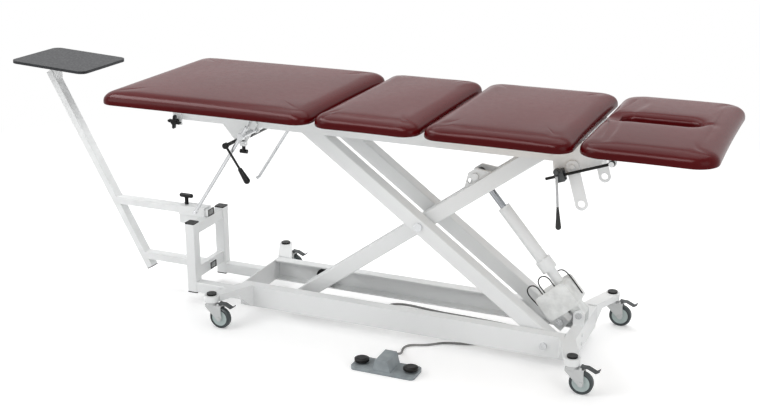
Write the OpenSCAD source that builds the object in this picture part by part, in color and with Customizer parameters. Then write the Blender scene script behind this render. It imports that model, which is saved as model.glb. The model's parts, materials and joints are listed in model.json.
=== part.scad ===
// Four-section treatment table with an electric scissor lift, a traction carriage and a tray stand.
// The head end points to +X, the side with the foot switch to -Y, and z = 0 is the floor.

/* [Cushions] */
// Width of all four cushions
cushion_w = 686; // [620:2:740]
// Height of a cushion from its board side to the start of the crown
cushion_t = 44; // [40:1:60]
// Extra height in the middle of a cushion
cushion_crown = 4; // [2:0.5:8]
// How far the long edges pull in between two corners
cushion_pull = 3; // [0:0.5:6]
// Gap between two neighbouring cushions
cushion_gap = 12; // [10:1:20]
// Length of the leg cushion
leg_l = 766; // [640:2:800]
// Length of the pelvis cushion
pelvis_l = 349; // [300:1:380]
// Length of the chest cushion
chest_l = 456; // [430:1:480]
// Length of the head cushion
head_l = 393; // [360:1:420]
// Length of the face slot in the head cushion
slot_l = 250; // [180:2:260]
// Width of the face slot
slot_w = 80; // [60:1:100]

/* [Scissor lift] */
// Angle of the scissor arms above the floor
lift_angle = 36.1; // [30:0.1:40]
// Distance between the two end pivots of a scissor arm
arm_pitch = 1100; // [1080:2:1110]
// Height of the square tube of the arms
arm_h = 50; // [44:1:54]
// Diameter of the guide rollers
roller_d = 65.4; // [60:0.2:65.6]

/* [Rails] */
// Distance between the outer faces of the two rails
rail_span = 292; // [286:1:296]
// Height of the C-section of the rails
rail_h = 76; // [76:0.5:80]
// Thickness of the web of the rails
rail_web = 4; // [3:0.5:5]
// Thickness of the flanges of the rails
rail_flange = 5; // [3:0.5:5]
// Height of the base rails above the floor
rail_floor_gap = 36; // [30:1:44]

/* [Casters] */
// Diameter of the caster wheels
wheel_d = 75; // [70:1:76]
// Width of the tyres
tyre_w = 23; // [18:1:24]
// Distance of a wheel axle behind its swivel axis
caster_trail = 31.6; // [26:0.2:34]
// Distance of the swivel axes from the middle of the base, along the table
caster_x = 627.2; // [615:0.2:650]
// Distance of the swivel axes from the middle of the base, across the table
caster_y = 275.7; // [265:0.1:290]

/* [Tray stand] */
// Length of the tray
tray_l = 316; // [280:2:360]
// Width of the tray
tray_w = 271; // [200:1:300]
// Thickness of the tray
tray_t = 10; // [8:0.5:14]
// Tilt of the tray
tray_tilt = 3.2; // [0:0.1:6]
// Side of the square tube of the stand
stand_tube = 38; // [34:1:42]
// Height of the two uprights
upright_top = 295; // [285:1:320]

/* [Foot switch] */
// Length of the foot switch
switch_l = 216; // [200:1:240]
// Depth of the foot switch
switch_w = 84; // [76:1:90]
// Diameter of the foot pads
foot_pad_d = 48; // [40:1:56]
// Diameter of the foot switch cable
cable_d = 8; // [6:0.5:8]

/* [Hidden] */
$fn = 40;

// Clearances and overruns that several pieces share
run_fit = 0.05;
gap = 0.3;
weld = 1;
cut = 2;
edge_r = 4;

// Rails
rail_y = rail_span / 2;
rail_d = 38;
rail_in = rail_y - rail_d;
web_in = rail_y - rail_web;
base_x0 = -585;
base_x1 = 565;
base_top = rail_floor_gap + rail_h;
end_plate_t = 5;
cross_bolt_r = 6;
cross_bolt_t = 3;
cross_bolt_y = 52;
cross_bolt_share = 0.2;
cross_w = 38;
tube_wall = 3;
plate_t = 6;
plate_out = rail_y + plate_t;

// Scissor geometry: P0 is the lower outer pivot, M the middle, U and T the upper ends, L the lower rollers
pivot_x = 502;
pivot_z = rail_floor_gap + rail_h / 2;
half_arm = arm_pitch / 2;
reach = arm_pitch * cos(lift_angle);
rise = arm_pitch * sin(lift_angle);
mid_x = pivot_x - reach / 2;
mid_z = pivot_z + rise / 2;
roll_x = pivot_x - reach;
top_pivot_z = pivot_z + rise;
top_z0 = top_pivot_z - rail_h / 2;
top_z1 = top_z0 + rail_h;
board_z = top_z1 + gap;
arm_end = 22;
outer_y0 = 54;
outer_y1 = 105;
inner_y0 = 25.5;
inner_y1 = 50.5;
bush_r = 14;
axle_r = 8;
mid_axle_r = 10;
washer_r = 15;
spacer_r = 12;
roller_w = 27.5;
roller_y0 = 112;
head_t = 6;

// Top frame, measured from the pivot column so that it stays over the upper inner pivot
top_left_run = 1328;
top_right_run = 98;
top_x0 = pivot_x - top_left_run;
top_x1 = pivot_x + top_right_run;
cross_up = 32.7;
cross_z0 = top_z0 + cross_up;
cross_h = 38;
cross_leg_run = 692;
cross_pelvis_run = 312;
cross_head_in = 30;
cross_places = [
    top_x0 + cross_w / 2, pivot_x - cross_leg_run, pivot_x - cross_pelvis_run, top_x1 - cross_head_in
];
hinge_out = 8;
head_hinge_x = top_x1 + hinge_out;
hinge_drop = 8;
hinge_z = top_z1 - hinge_drop;
hinge_pin_r = 5;
leg_hinge_x = head_hinge_x - 2 * cushion_gap - chest_l - pelvis_l;
bar_y0 = 153;
bar_t = 12;
bar_y1 = bar_y0 + bar_t;
bar_h = 24;
pin_head_r = 8;
pin_head_t = 4;

// Cushions and boards
cushion_corner = 75;
head_corner = 90;
shoulder_run = 62;
shoulder_drop = 38;
board_t = 12;
board_inset = 12;
bottom_roll = 2;
corner_steps = 6;
shoulder_steps = 6;
crown_steps = 3;
side_points = 3;
slot_end = 46;

// Casters
stem_r = 8;
socket_z0 = 93.5;
arm_top = 116;
caster_arm_w = 50;
caster_arm_low = 40;
arm_clear_z = 94;
arm_clear_run = 95;
tyre_side_gap = 1.5;
fork_gap = tyre_w / 2 + tyre_side_gap;
fork_t = 2.5;
crown_t = 5;
tyre_top_gap = 4;
crown_z = wheel_d + tyre_top_gap;
crown_back = 19;
crown_front = 40;
cup_r = 19;
caster_pin_r = 4;
hub_r = 30.5;
hub_boss_share = 0.3;
hub_dish_share = 0.4;
dish_deep_share = 0.38;
dish_rim_share = 0.44;
tyre_flat_share = 0.32;
tyre_round_share = 0.15;
nut_r = 7;
nut_t = 3.5;
fork_foot_r = 10;
foot_back_share = 0.9;
foot_drop_share = 0.4;
pedal_x = 30;
pedal_rise = 4;
pedal_z = crown_z + crown_t + pedal_rise;
pedal_pin_r = 2;
pedal_hub_r = 3.8;
pedal_w = 22;
pedal_t = 3;
cap_r = 17;
cap_t = 6;

// Actuator, whose rear pin stands on the right cross tube
rear_x = 585;
ear_rise = 35;
rear_z = base_top + ear_rise;
rear_pin_r = 7;
ear_y0 = 28;
ear_t = 8;
ear_r = 18;
rod_a = 237.5;
rod_h = 40.7;
rod_x = mid_x + rod_a * cos(lift_angle) - rod_h * sin(lift_angle);
rod_z = mid_z + rod_a * sin(lift_angle) + rod_h * cos(lift_angle);
act_len = norm([rod_x - rear_x, rod_z - rear_z]);
act_angle = atan2(rod_x - rear_x, rod_z - rear_z);
rod_shown = 134;
rod_r = 11;
act_tube_r = 21;
act_bore_r = 18;
gland_l = 10;
tube_top = act_len - rod_shown;
cover_rise = 31.5;
cover_front = 31.5;
cover_h = 89;
cover_l = 121;
cover_u0 = cover_rise;
cover_u1 = cover_u0 + cover_h;
cover_n1 = cover_front;
cover_n0 = cover_n1 - cover_l;
cover_w = 90;
cover_corner = 14;
clamp_l = 49.5;
clamp_u = cover_u1 + clamp_l;
clamp_r = 17;
boss_l = 42;
boss_u = clamp_u + boss_l;
boss_r = 27;
rod_depth = 81;
piston_t = 12;
rod_neck = 16;
eye_r = 15;
eye_w = 50;
bracket_y0 = 26;
bracket_t = 8;

// Tray stand
stand_x = -801.4;
stand_y = 103;
stand_foot = 40;
plug_t = 8;
post_y = 38;
post_z = 25;
post_wall = 3;
upper_z = 307;
lower_z = 105;
slide_fit = 0.4;
sleeve_wall = 4;
sleeve_back = 103.6;
sleeve_front = 4.4;
sleeve_x0 = stand_x - sleeve_back;
sleeve_x1 = stand_x + sleeve_front;
guide_l = 20;
guide_wall = 8;
gusset_h = 34;
post_cap_t = 4;
post_front = 20.4;
post_x1 = stand_x + post_front;
lean_back = 245.6;
lean_run = 387;
lean_rise = 716;
lean_x0 = stand_x - lean_back;
lean_z0 = 57;
lean_x1 = lean_x0 - lean_run;
lean_z1 = lean_z0 + lean_rise;
lean = atan2(-lean_run, lean_rise);
lean_l = norm([lean_run, lean_rise]);
tray_in = 82;
tray_rise = 42;
tray_x = lean_x1 + tray_in;
tray_z = lean_z1 + tray_rise;
tray_corner = 28;
tray_plate_l = 110;
tray_plate_w = 80;
tray_plate_t = 4;
neck_in = 6;
neck_l = 28;
neck_drop = 28;
neck_x0 = lean_x1 + neck_in;
neck_x1 = neck_x0 + neck_l;
neck_z0 = lean_z1 - neck_drop;

// Foot switch
switch_x = 52;
switch_y = -358;
switch_t = 12;
switch_corner = 14;
hump_l = 60;
hump_top_l = 40;
hump_h = 38;
pad_off = 84;
pad_stem_r = 9;
pad_stem_l = 5;
pad_gap = 6;
pad_t = 8;
gland_r = 8;
gland_x = 63;
gland_z = 28;
gland_out = 14;
switch_feet = 2;

// The whole part is placed so that the origin lies under the middle of its box
tray_left = tray_x - tray_l / 2 * cos(tray_tilt) - tray_t / 2 * sin(tray_tilt);
head_end = head_hinge_x + cushion_gap / 2 + head_l;
origin_x = -(tray_left + head_end) / 2;
origin_y = -(switch_y - switch_w / 2 + cushion_w / 2) / 2;
module place() translate([origin_x, origin_y, 0]) children();

// General shapes
module block(x0, x1, y0, y1, z0, z1) translate([x0, y0, z0]) cube([x1 - x0, y1 - y0, z1 - z0]);

module pin_y(x, z, y0, y1, r) translate([x, y0, z]) rotate([-90, 0, 0]) cylinder(r = r, h = y1 - y0);

module pin_z(x, y, z0, z1, r) translate([x, y, z0]) cylinder(r = r, h = z1 - z0);

module soft_rect(w, h, r) {
    square([w - 2 * r, h], center = true);
    square([w, h - 2 * r], center = true);
    for (sx = [-1, 1], sy = [-1, 1])
        translate([sx * (w / 2 - r), sy * (h / 2 - r)]) circle(r);
}

module tube_rect(w, h) {
    difference() {
        soft_rect(w, h, edge_r);
        square([w - 2 * tube_wall, h - 2 * tube_wall], center = true);
    }
}

module tube_x(x0, x1, y, z, w, h)
    translate([x0, y, z]) rotate([90, 0, 90]) linear_extrude(x1 - x0) tube_rect(w, h);

module tube_y(x, y0, y1, z, w, h)
    translate([x, y1, z]) rotate([90, 0, 0]) linear_extrude(y1 - y0) tube_rect(w, h);

module tube_z(x, y, z0, z1, w, h) translate([x, y, z0]) linear_extrude(z1 - z0) tube_rect(w, h);

// Draws its children, made for the far side at +Y, on the near side or on the far side
module on_side(near) mirror([0, near ? 1 : 0, 0]) children();

module both_sides() {
    on_side(true) children();
    on_side(false) children();
}

// Flat outline in X and Z, made solid from y0 to y1
module plate_xz(y0, y1, points)
    translate([0, y1, 0]) rotate([90, 0, 0]) linear_extrude(y1 - y0) polygon(points);

// Rails
module channel(x0, x1, z0) {
    translate([x0, rail_y, z0]) rotate([90, 0, 90]) linear_extrude(x1 - x0) polygon([
        [0, 0], [-rail_d, 0], [-rail_d, rail_flange], [-rail_web, rail_flange],
        [-rail_web, rail_h - rail_flange], [-rail_d, rail_h - rail_flange], [-rail_d, rail_h], [0, rail_h]
    ]);
}

module base_rail(near) {
    color("white") place() on_side(near) difference() {
        channel(base_x0, base_x1, rail_floor_gap);
        pin_y(pivot_x, pivot_z, web_in - cut, rail_y + cut, axle_r + run_fit);
    }
}
module base_rail_near() base_rail(true);
module base_rail_far() base_rail(false);

// Left end plate, and the right cross tube with the two ears of the actuator
module actuator_ear() {
    difference() {
        union() {
            pin_y(rear_x, rear_z, ear_y0, ear_y0 + ear_t, ear_r);
            block(rear_x - ear_r, rear_x + ear_r, ear_y0, ear_y0 + ear_t, base_top - weld, rear_z);
        }
        pin_y(rear_x, rear_z, ear_y0 - cut, ear_y0 + ear_t + cut, rear_pin_r + run_fit);
    }
}
module base_cross_members() {
    color("white") place() {
        block(base_x0 - end_plate_t, base_x0, -rail_y, rail_y, rail_floor_gap, base_top);
        union() {
            tube_y(base_x1 + cross_w / 2, -rail_y, rail_y, pivot_z, cross_w, rail_h);
            both_sides() actuator_ear();
            for (dz = [-1, 1])
                translate([base_x1 + cross_w - weld, -cross_bolt_y,
                    pivot_z + dz * rail_h * cross_bolt_share])
                    rotate([0, 90, 0]) cylinder(r = cross_bolt_r, h = cross_bolt_t + weld);
        }
    }
}

// Four arms that reach out from the rails to the caster sockets
module caster_arm(side_x, rail_end) {
    inner_x = rail_end - side_x * caster_arm_w / 2;
    run = norm([side_x * caster_x - inner_x, caster_y - rail_y]);
    turn = atan2(side_x * caster_x - inner_x, caster_y - rail_y);
    arm_w = caster_arm_w - 2 * weld;
    difference() {
        union() {
            intersection() {
                translate([side_x * caster_x, caster_y, 0]) rotate([0, 0, -turn]) rotate([90, 0, -90])
                    translate([0, 0, -arm_w / 2]) linear_extrude(arm_w) polygon([
                        [2 * stem_r, arm_clear_z], [arm_clear_run, arm_clear_z], [run, caster_arm_low],
                        [run + caster_arm_w, caster_arm_low], [run + caster_arm_w, arm_top],
                        [2 * stem_r, arm_top]
                    ]);
                block(-2 * caster_x, 2 * caster_x, rail_y, 2 * caster_y, 0, 2 * arm_top);
            }
            pin_z(side_x * caster_x, caster_y, socket_z0, arm_top, caster_arm_w / 2);
        }
        pin_z(side_x * caster_x, caster_y, socket_z0 - cut, arm_top + cut, stem_r + run_fit);
    }
}
module caster_arms() {
    color("white") place() both_sides() {
        caster_arm(-1, base_x0 - end_plate_t);
        caster_arm(1, base_x1 + cross_w);
    }
}

// Black plastic caps of the caster sockets and of the uprights
module tube_plug(x, y, z, up) {
    translate([x, y, z]) mirror([0, 0, up ? 0 : 1]) {
        linear_extrude(post_cap_t) soft_rect(stand_tube, stand_tube, edge_r);
        translate([0, 0, -plug_t]) linear_extrude(plug_t)
            square(stand_tube - 2 * tube_wall - 2 * gap, center = true);
    }
}
module end_plugs() {
    color("black") place() both_sides() {
        for (sx = [-1, 1])
            pin_z(sx * caster_x, caster_y, arm_top, arm_top + cap_t, cap_r);
        tube_plug(stand_x, stand_y, upright_top, true);
        tube_plug(stand_x, stand_y, stand_foot, false);
    }
}

// Lower pivot pins with their spacers, and the rear pin of the actuator
pivot_head_r = 12;
module lower_pivot_pin() {
    pin_y(pivot_x, pivot_z, outer_y0 - gap, rail_y, axle_r);
    pin_y(pivot_x, pivot_z, rail_y, rail_y + head_t, pivot_head_r);
    pin_y(pivot_x, pivot_z, outer_y0 - gap - pin_head_t, outer_y0 - gap, pivot_head_r);
    pin_y(pivot_x, pivot_z, outer_y1 + gap, web_in, spacer_r);
}
module base_pins() {
    color("silver") place() {
        both_sides() lower_pivot_pin();
        union() {
            pin_y(rear_x, rear_z, -ear_y0 - ear_t, ear_y0 + ear_t, rear_pin_r);
            both_sides()
                pin_y(rear_x, rear_z, ear_y0 + ear_t, ear_y0 + ear_t + pin_head_t, washer_r - pin_head_t);
        }
    }
}

// Stand: two uprights, their base tubes, the crossbar with its sleeve and the lower guide
sleeve_w = post_y + 2 * slide_fit + 2 * sleeve_wall;
sleeve_h = post_z + 2 * slide_fit + 2 * sleeve_wall;
sleeve_z0 = upper_z - sleeve_h / 2;
stand_in = stand_y - stand_tube / 2;
knob_screw_r = 5;
knob_in = 22;
knob_x = sleeve_x0 + knob_in;
module stand_frame() {
    color("white") place() difference() {
        union() {
            both_sides() {
                tube_z(stand_x, stand_y, stand_foot, upright_top, stand_tube, stand_tube);
                tube_x(stand_x + stand_tube / 2 - weld, base_x0 - end_plate_t, stand_y,
                    stand_foot + stand_tube / 2, stand_tube, stand_tube);
            }
            block(stand_x - stand_tube / 2 + edge_r, stand_x + stand_tube / 2 - edge_r, -stand_in - weld,
                stand_in + weld, sleeve_z0 + weld - stand_tube, sleeve_z0 + weld);
            block(sleeve_x0, sleeve_x1, -sleeve_w / 2, sleeve_w / 2, sleeve_z0, sleeve_z0 + sleeve_h);
            block(sleeve_x0, stand_x, -post_y / 2, post_y / 2, sleeve_z0 - gusset_h, sleeve_z0 + weld);
            block(stand_x - guide_l / 2, stand_x + guide_l / 2, -stand_in - weld, stand_in + weld,
                lower_z - post_z / 2 - guide_wall, lower_z + post_z / 2 + guide_wall);
        }
        for (z = [upper_z, lower_z])
            block(sleeve_x0 - post_y, stand_x + post_y, -post_y / 2 - slide_fit, post_y / 2 + slide_fit,
                z - post_z / 2 - slide_fit, z + post_z / 2 + slide_fit);
        pin_z(knob_x, 0, upper_z, upper_z + sleeve_h, knob_screw_r + run_fit);
    }
}

// Foot switch with its hump, two pads and the cable gland
module foot_switch_base() {
    color("dimgray") place() difference() {
        translate([switch_x, switch_y, 0]) linear_extrude(switch_t)
            soft_rect(switch_l, switch_w, switch_corner);
        for (s = [-1, 1])
            pin_z(switch_x + s * pad_off, switch_y, switch_feet, switch_t + cut, pad_stem_r + gap);
    }
}

module foot_switch_cover() {
    hump_y1 = switch_y + switch_w / 2;
    color("dimgray") place() union() {
        plate_xz(switch_y - switch_w / 2 + bottom_roll, hump_y1, [
            [switch_x - hump_l / 2, switch_t], [switch_x + hump_l / 2, switch_t],
            [switch_x + hump_top_l / 2, switch_t + hump_h], [switch_x - hump_top_l / 2, switch_t + hump_h]
        ]);
        pin_y(gland_x, gland_z, hump_y1 - weld, hump_y1 + gland_out, gland_r);
    }
}

module foot_pad(s) {
    x = switch_x + s * pad_off;
    color("black") place() union() {
        pin_z(x, switch_y, switch_t - pad_stem_l, switch_t + pad_gap + weld, pad_stem_r);
        pin_z(x, switch_y, switch_t + pad_gap, switch_t + pad_gap + pad_t, foot_pad_d / 2);
        translate([x, switch_y, switch_t + pad_gap + pad_t])
            cylinder(r1 = foot_pad_d / 2, r2 = foot_pad_d / 2 - pad_t, h = pad_t / 2);
    }
}
module foot_pad_up() foot_pad(-1);
module foot_pad_down() foot_pad(1);

// Cable of the foot switch: along the floor, under the near rail and up to the cross tube.
// The points are places in the frame of the base.
cable_points = [
    [63, -302, 28], [63, -288, 27], [62, -268, 19], [57, -244, 9], [51, -221, 4.8], [46, -202, 4.1],
    [47, -182, 4], [58, -165, 4], [78, -155, 4], [100, -146, 4], [124, -130, 4], [150, -108, 4],
    [180, -96, 4], [216, -87, 4], [256, -70, 4], [288, -40, 4], [302, 0, 4], [290, 40, 4],
    [250, 64, 4], [190, 68, 4], [120, 60, 4], [60, 54, 4], [0, 50, 4], [-60, 50, 4],
    [-112, 60, 4], [-142, 94, 4], [-124, 134, 4], [-78, 146, 4], [-20, 140, 4], [60, 130, 4],
    [140, 128, 4], [230, 124, 4], [320, 116, 4.1], [396, 102, 4.3], [438, 82, 6], [474, 58, 13],
    [506, 42, 26], [536, 36, 42], [565, 34, 50]
];
cable_sides = 8;
function spline(a, b, c, d, t) = 0.5 * (2 * b + (c - a) * t + (2 * a - 5 * b + 4 * c - d) * t * t
    + (3 * b - a - 3 * c + d) * t * t * t);
function pick(list, i) = list[max(0, min(len(list) - 1, i))];
cable_steps = 2;
cable_line = concat(
    [for (i = [0:len(cable_points) - 2], k = [0:cable_steps - 1])
        spline(pick(cable_points, i - 1), cable_points[i], cable_points[i + 1], pick(cable_points, i + 2),
            k / cable_steps)],
    [cable_points[len(cable_points) - 1]]
);
function unit(v) = v / norm(v);
function tangent(i) = i == 0 ? [0, 1, 0] : i == len(cable_line) - 1 ? [1, 0, 0]
    : unit(cable_line[i + 1] - cable_line[i - 1]);
function cable_side(t) = unit(cross(t, [0, 0, 1]));
function cable_ring(i) = let (t = tangent(i), s = cable_side(t), u = cross(s, t))
    [for (k = [0:cable_sides - 1]) cable_line[i] + cable_d / 2 * (cos(360 * k / cable_sides) * s
        + sin(360 * k / cable_sides) * u)];
function sum(list, i = 0) = i >= len(list) ? 0 : list[i] + sum(list, i + 1);
cable_length = sum([for (i = [1:len(cable_line) - 1]) norm(cable_line[i] - cable_line[i - 1])]);
echo(cable_length = cable_length);
module foot_cable() {
    n = cable_sides;
    rings = len(cable_line);
    color("gray") place() polyhedron(
        points = [for (i = [0:rings - 1]) each cable_ring(i)],
        faces = concat(
            [[for (k = [0:n - 1]) k]],
            [for (i = [0:rings - 2], k = [0:n - 1]) each [
                [i * n + k, (i + 1) * n + k, (i + 1) * n + (k + 1) % n],
                [i * n + k, (i + 1) * n + (k + 1) % n, i * n + (k + 1) % n]]],
            [[for (k = [n - 1:-1:0]) (rings - 1) * n + k]]
        ));
}

// Casters: each module draws at the swivel axis
module at_caster(side_x, near) {
    place() translate([side_x * caster_x, near ? -caster_y : caster_y, 0]) children();
}

module fork_cheek() {
    y1 = fork_gap + fork_t;
    plate_xz(fork_gap, y1, [
        [-crown_back, crown_z + crown_t], [-crown_back, crown_z - crown_t],
        [caster_trail - fork_foot_r * foot_back_share, wheel_d / 2 - fork_foot_r * foot_drop_share],
        [caster_trail + fork_foot_r, wheel_d / 2], [crown_front, crown_z - crown_t],
        [crown_front, crown_z + crown_t]
    ]);
    pin_y(caster_trail, wheel_d / 2, fork_gap, y1, fork_foot_r);
    pin_y(pedal_x, pedal_z, fork_gap, y1, pedal_hub_r);
    block(pedal_x - pedal_hub_r, pedal_x + pedal_hub_r, fork_gap, y1, crown_z, pedal_z);
}

module caster_fork(side_x, near) {
    color("gainsboro") at_caster(side_x, near) union() {
        both_sides() fork_cheek();
        block(-crown_back, crown_front, -fork_gap - weld, fork_gap + weld, crown_z, crown_z + crown_t);
        pin_z(0, 0, crown_z, socket_z0 - gap, cup_r);
        pin_z(0, 0, crown_z, arm_top - gap, stem_r);
        pin_y(caster_trail, wheel_d / 2, -fork_gap - weld, fork_gap + weld, caster_pin_r);
        both_sides() pin_y(caster_trail, wheel_d / 2, fork_gap, fork_gap + fork_t + nut_t, nut_r);
        pin_y(pedal_x, pedal_z, -fork_gap - weld, fork_gap + weld, pedal_pin_r);
    }
}

// Half of a wheel's section: the hub with its dished sides, then the tyre with its rounded tread
hub_half = [
    [caster_pin_r + run_fit, fork_gap - gap], [hub_r * hub_boss_share, fork_gap - gap],
    [hub_r * hub_dish_share, tyre_w * dish_deep_share], [hub_r, tyre_w * dish_rim_share]
];
tyre_half = [
    [hub_r, tyre_w / 2], [wheel_d / 2 - tyre_w * tyre_round_share, tyre_w / 2],
    [wheel_d / 2, tyre_w * tyre_flat_share]
];
function both_halves(half) = concat(half, [for (i = [len(half) - 1:-1:0]) [half[i][0], -half[i][1]]]);
module caster_wheel(side_x, near) {
    color("darkslategray") at_caster(side_x, near)
        translate([caster_trail, 0, wheel_d / 2]) rotate([90, 0, 0]) {
            rotate_extrude() polygon(both_halves(hub_half));
            rotate_extrude() polygon(both_halves(tyre_half));
        }
}

pedal_arch = 22;
pedal_reach = 46;
pedal_tip = 57;
module caster_pedal(side_x, near) {
    color("dimgray") at_caster(side_x, near) translate([pedal_x, 0, pedal_z]) difference() {
        union() {
            pin_y(0, 0, -fork_gap + gap, fork_gap - gap, pedal_hub_r);
            plate_xz(-pedal_w / 2, pedal_w / 2, [
                [0, pedal_hub_r], [0, pedal_hub_r - pedal_t], [pedal_arch, pedal_hub_r - pedal_t],
                [pedal_reach, -2 * pedal_hub_r - pedal_t], [pedal_tip, -pedal_hub_r], [pedal_tip, 0],
                [pedal_reach, -2 * pedal_hub_r], [pedal_arch, pedal_hub_r]
            ]);
        }
        pin_y(0, 0, -fork_gap, fork_gap, pedal_pin_r + run_fit);
    }
}

module caster_fork_near_left() caster_fork(-1, true);
module caster_fork_far_left() caster_fork(-1, false);
module caster_fork_near_right() caster_fork(1, true);
module caster_fork_far_right() caster_fork(1, false);
module caster_wheel_near_left() caster_wheel(-1, true);
module caster_wheel_far_left() caster_wheel(-1, false);
module caster_wheel_near_right() caster_wheel(1, true);
module caster_wheel_far_right() caster_wheel(1, false);
module caster_pedal_near_left() caster_pedal(-1, true);
module caster_pedal_far_left() caster_pedal(-1, false);
module caster_pedal_near_right() caster_pedal(1, true);
module caster_pedal_far_right() caster_pedal(1, false);

// Scissor arms, drawn along their own length from the middle pivot
module along_outer() translate([mid_x, 0, mid_z]) rotate([0, lift_angle, 0]) children();
module along_inner() translate([mid_x, 0, mid_z]) rotate([0, -lift_angle, 0]) children();

module scissor_arm(y0, y1, end_bores) {
    difference() {
        union() {
            tube_x(-half_arm - arm_end, half_arm + arm_end, (y0 + y1) / 2, 0, y1 - y0, arm_h);
            for (x = [-half_arm, 0, half_arm])
                pin_y(x, 0, y0 + weld / 2, y1 - weld / 2, bush_r);
        }
        pin_y(0, 0, y0 - cut, y1 + cut, mid_axle_r + run_fit);
        for (x = end_bores)
            pin_y(x, 0, y0 - cut, y1 + cut, axle_r + run_fit);
    }
}

module outer_arm(near)
    color("white") place() along_outer() on_side(near)
        scissor_arm(outer_y0, outer_y1, [-half_arm, half_arm]);
module outer_arm_near() outer_arm(true);
module outer_arm_far() outer_arm(false);

module inner_arm(near)
    color("white") place() along_inner() on_side(near)
        scissor_arm(inner_y0, inner_y1, [-half_arm, half_arm]);
module inner_arm_near() inner_arm(true);
module inner_arm_far() inner_arm(false);

module mid_axle() {
    color("silver") place() translate([mid_x, 0, mid_z]) union() {
        pin_y(0, 0, -outer_y1 - gap, outer_y1 + gap, mid_axle_r);
        both_sides() {
            pin_y(0, 0, inner_y1 + gap, outer_y0 - gap, washer_r);
            pin_y(0, 0, outer_y1 + gap, outer_y1 + gap + head_t, washer_r);
        }
    }
}

// A live axle with its two black rollers; the spacers keep the rollers in the channels
module roller_set(x, z, arm_face) {
    translate([x, 0, z]) union() {
        pin_y(0, 0, -roller_y0 - roller_w, roller_y0 + roller_w, axle_r);
        both_sides() {
            pin_y(0, 0, arm_face + gap, roller_y0 + weld, spacer_r);
            translate([0, roller_y0 + roller_w, 0]) rotate([90, 0, 0]) rotate_extrude() polygon([
                [axle_r - weld, 0], [roller_d / 2 - edge_r / 2, 0], [roller_d / 2, edge_r / 2],
                [roller_d / 2, roller_w - edge_r / 2], [roller_d / 2 - edge_r / 2, roller_w],
                [axle_r - weld, roller_w]
            ]);
        }
    }
}
module upper_rollers() color("black") place() roller_set(roll_x, top_pivot_z, outer_y1);
module lower_rollers() color("black") place() roller_set(roll_x, pivot_z, inner_y1);

// Bracket on the inner arms that takes the end of the actuator rod
bracket_a0 = 178;
bracket_a1 = 292;
bracket_h = 62;
bracket_hole_a = 212;
bracket_hole_r = 9;
module rod_bracket() {
    color("white") place() along_inner() both_sides() difference() {
        union() {
            plate_xz(bracket_y0, bracket_y0 + bracket_t, [
                [bracket_a0, arm_h / 2], [bracket_a1, arm_h / 2],
                [rod_a + eye_r, bracket_h], [rod_a - eye_r, bracket_h]
            ]);
            pin_y(rod_a, rod_h, bracket_y0 + bracket_t - weld, bracket_y0 + bracket_t + head_t,
                washer_r - pin_head_t);
        }
        pin_y(bracket_hole_a, rod_h - pin_head_t, bracket_y0 - cut, bracket_y0 + bracket_t + cut,
            bracket_hole_r);
    }
}

// Actuator, drawn along the line from its rear pin to the bracket
module along_actuator() place() translate([rear_x, 0, rear_z]) rotate([0, act_angle, 0]) children();

module actuator_tube() {
    color("white") along_actuator() difference() {
        union() {
            translate([0, 0, cover_u1]) cylinder(r = clamp_r, h = clamp_l);
            translate([0, 0, clamp_u]) cylinder(r = boss_r, h = boss_l);
            translate([0, 0, boss_u - weld]) cylinder(r = act_tube_r, h = tube_top - boss_u + weld);
        }
        translate([0, 0, boss_u]) cylinder(r = act_bore_r, h = tube_top - gland_l - boss_u);
        translate([0, 0, tube_top - gland_l - cut]) cylinder(r = rod_r + run_fit, h = gland_l + 2 * cut);
    }
}

module motor_cover() {
    u_mid = (cover_u0 + cover_u1) / 2;
    n_mid = (cover_n0 + cover_n1) / 2;
    color("white") along_actuator() difference() {
        union() {
            translate([n_mid, cover_w / 2, u_mid]) rotate([90, 0, 0]) linear_extrude(cover_w)
                soft_rect(cover_l, cover_h, cover_corner);
            pin_y(0, 0, -ear_y0 + gap, ear_y0 - gap, eye_r);
            block(-eye_r, eye_r, -ear_y0 + gap, ear_y0 - gap, 0, cover_u0 + weld);
        }
        pin_y(0, 0, -ear_y0 - cut, ear_y0 + cut, rear_pin_r + run_fit);
    }
}

module actuator_rod() {
    color("silver") along_actuator() union() {
        pin_z(0, 0, tube_top - rod_depth, act_len - rod_neck, rod_r);
        pin_z(0, 0, tube_top - rod_depth, tube_top - rod_depth + piston_t, act_bore_r - run_fit);
    }
}

module rod_end() {
    color("black") along_actuator() union() {
        translate([0, 0, act_len - rod_neck]) cylinder(r = rod_r + pin_head_t, h = rod_neck);
        pin_y(0, act_len, -eye_w / 2, eye_w / 2, eye_r);
    }
}

// Top frame
module top_rail(near) {
    color("white") place() on_side(near) difference() {
        channel(top_x0, top_x1, top_z0);
        pin_y(pivot_x, top_pivot_z, web_in - cut, rail_y + cut, axle_r + run_fit);
    }
}
module top_rail_near() top_rail(true);
module top_rail_far() top_rail(false);

module top_cross_tubes() {
    color("white") place() for (x = cross_places)
        tube_y(x, -web_in, web_in, cross_z0 + cross_h / 2, cross_w, cross_h);
}

module top_axle() {
    color("silver") place() translate([pivot_x, 0, top_pivot_z]) union() {
        pin_y(0, 0, -rail_y, rail_y, axle_r);
        both_sides() pin_y(0, 0, inner_y1 + gap, web_in, spacer_r);
        pin_y(0, 0, -inner_y0 + gap, inner_y0 - gap, spacer_r);
    }
}

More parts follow.
